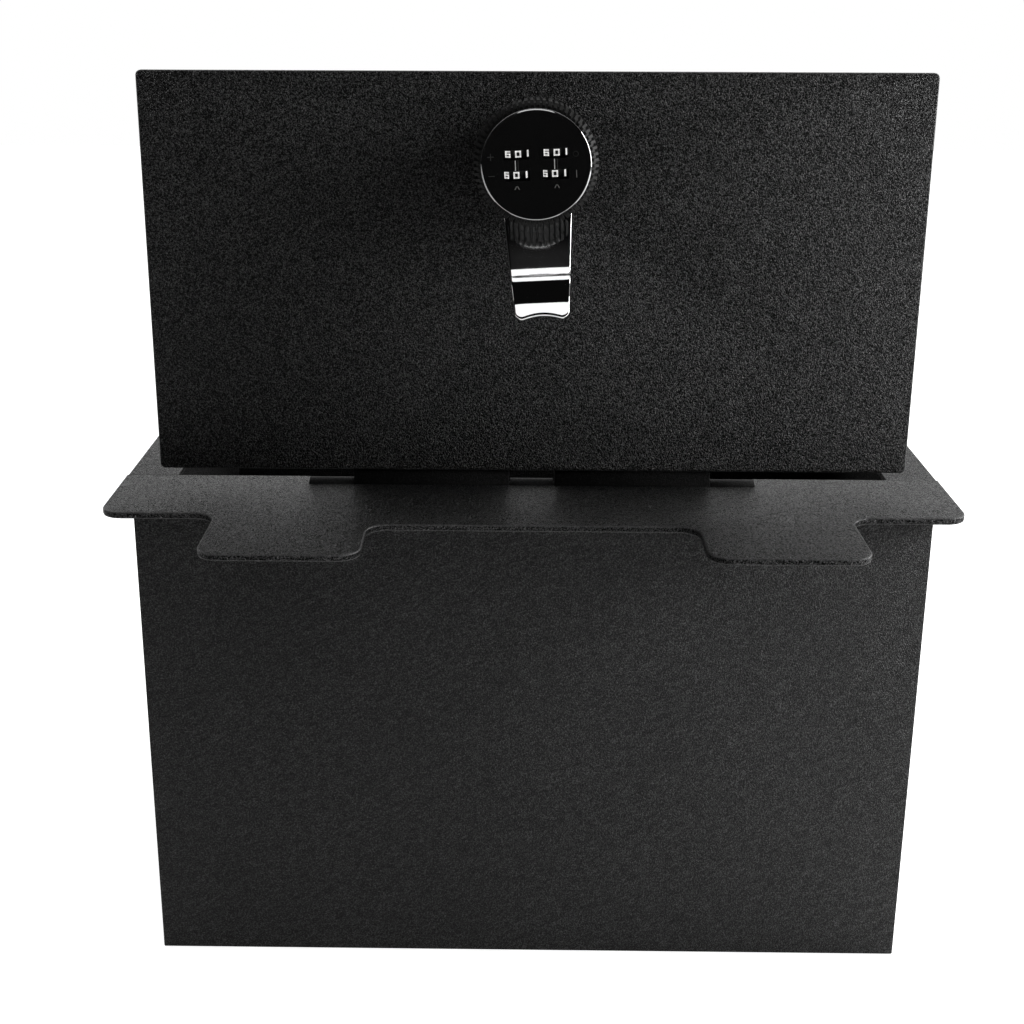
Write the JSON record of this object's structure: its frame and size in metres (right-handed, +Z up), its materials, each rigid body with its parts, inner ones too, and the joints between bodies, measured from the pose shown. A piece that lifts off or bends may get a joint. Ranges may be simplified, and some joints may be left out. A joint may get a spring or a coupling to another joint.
{
  "type": "cash box",
  "caption": "Steel drop-in cash box with a tabbed rim, a hinged plate lid that stands open, and a combination knob whose lever throws bolts under the rim.",
  "frame": {"origin": "centre of the floor's underside", "axes": "+Z up, +Y from the hinge side to the lock side, +X to the right seen from the hinge side; the lid stands open"},
  "size_m": [0.329, 0.26, 0.3554],
  "materials": {
    "steel_black": "powder coat",
    "lid_black": "powder coat",
    "zinc": "zinc plated",
    "chrome": "polished",
    "lock_black": "satin",
    "face_black": "gloss",
    "wheel_black": "matte"
  },
  "bodies": {
    "tub": {"floor_plate": "steel_black", "hinge_side_wall": "steel_black", "lock_side_wall": "steel_black", "left_wall": "steel_black", "right_wall": "steel_black", "hinge_side_rim": "steel_black", "lock_side_rim": "steel_black", "left_rim": "steel_black", "right_rim": "steel_black", "hinge_fixed_leaf": "steel_black", "hinge_pin": "zinc"},
    "lid": {"lid_plate": "lid_black", "hinge_lid_leaf": "steel_black", "left_inner_guide": "steel_black", "left_outer_guide": "steel_black", "right_inner_guide": "steel_black", "right_outer_guide": "steel_black", "front_guide": "steel_black", "lock_barrel": "lock_black", "lock_nut": "zinc"},
    "knob": {"spindle": "zinc", "lever_handle": "chrome", "head_core": "lock_black", "face_plate": "face_black", "wheel_axles": "zinc", "cam_plate": "zinc", "cam_washer": "zinc", "cam_screw": "zinc"},
    "left_bolt": {"left_bolt": "zinc"},
    "right_bolt": {"right_bolt": "zinc"},
    "front_bolt": {"front_bolt": "zinc"},
    "ring_1": {"dial_ring_1": "lock_black"},
    "ring_2": {"dial_ring_2": "lock_black"},
    "ring_3": {"dial_ring_3": "lock_black"},
    "ring_4": {"dial_ring_4": "lock_black"},
    "wheel_1": {"number_wheel_1": "wheel_black"},
    "wheel_2": {"number_wheel_2": "wheel_black"},
    "wheel_3": {"number_wheel_3": "wheel_black"},
    "wheel_4": {"number_wheel_4": "wheel_black"}
  },
  "joints": [
    {"name": "lid_hinge", "type": "hinge", "parent": "tub", "child": "lid", "pos_m": [0, -0.0656, 0.1939], "axis": [-1, 0, 0], "range_deg": [0, 90]},
    {"name": "handle_turn", "type": "hinge", "parent": "lid", "child": "knob", "pos_m": [0, -0.0697, 0.3241], "axis": [0, -1, 0], "range_deg": [0, 90]},
    {"name": "left_bolt_slide", "type": "slide", "parent": "lid", "child": "left_bolt", "axis": [-1, 0, 0], "range_m": [0, 0.009]},
    {"name": "right_bolt_slide", "type": "slide", "parent": "lid", "child": "right_bolt", "axis": [1, 0, 0], "range_m": [0, 0.009]},
    {"name": "front_bolt_slide", "type": "slide", "parent": "lid", "child": "front_bolt", "axis": [0, 0, 1], "range_m": [0, 0.009]},
    {"name": "ring_1_spin", "type": "hinge", "parent": "knob", "child": "ring_1", "pos_m": [0, -0.0697, 0.3241], "axis": [0, -1, 0], "continuous": true},
    {"name": "ring_2_spin", "type": "hinge", "parent": "knob", "child": "ring_2", "pos_m": [0, -0.0697, 0.3241], "axis": [0, -1, 0], "continuous": true},
    {"name": "ring_3_spin", "type": "hinge", "parent": "knob", "child": "ring_3", "pos_m": [0, -0.0697, 0.3241], "axis": [0, -1, 0], "continuous": true},
    {"name": "ring_4_spin", "type": "hinge", "parent": "knob", "child": "ring_4", "pos_m": [0, -0.0697, 0.3241], "axis": [0, -1, 0], "continuous": true},
    {"name": "wheel_1_spin", "type": "hinge", "parent": "knob", "child": "wheel_1", "pos_m": [-0.0072, -0.0846, 0.32773], "axis": [-0.0523, 0, 0.9986], "continuous": true},
    {"name": "wheel_2_spin", "type": "hinge", "parent": "knob", "child": "wheel_2", "pos_m": [0.00678, -0.0846, 0.32846], "axis": [-0.0523, 0, 0.9986], "continuous": true},
    {"name": "wheel_3_spin", "type": "hinge", "parent": "knob", "child": "wheel_3", "pos_m": [-0.00681, -0.0846, 0.32024], "axis": [-0.0523, 0, 0.9986], "continuous": true},
    {"name": "wheel_4_spin", "type": "hinge", "parent": "knob", "child": "wheel_4", "pos_m": [0.00717, -0.0846, 0.32097], "axis": [-0.0523, 0, 0.9986], "continuous": true}
  ],
  "couplings": [
    {"joint": "left_bolt_slide", "follows": "handle_turn", "m_per_rad": 0.0057295},
    {"joint": "right_bolt_slide", "follows": "handle_turn", "m_per_rad": 0.0057295},
    {"joint": "front_bolt_slide", "follows": "handle_turn", "m_per_rad": 0.0057295},
    {"joint": "wheel_1_spin", "follows": "ring_1_spin", "ratio": 1},
    {"joint": "wheel_2_spin", "follows": "ring_2_spin", "ratio": 1},
    {"joint": "wheel_3_spin", "follows": "ring_3_spin", "ratio": 1},
    {"joint": "wheel_4_spin", "follows": "ring_4_spin", "ratio": 1}
  ]
}
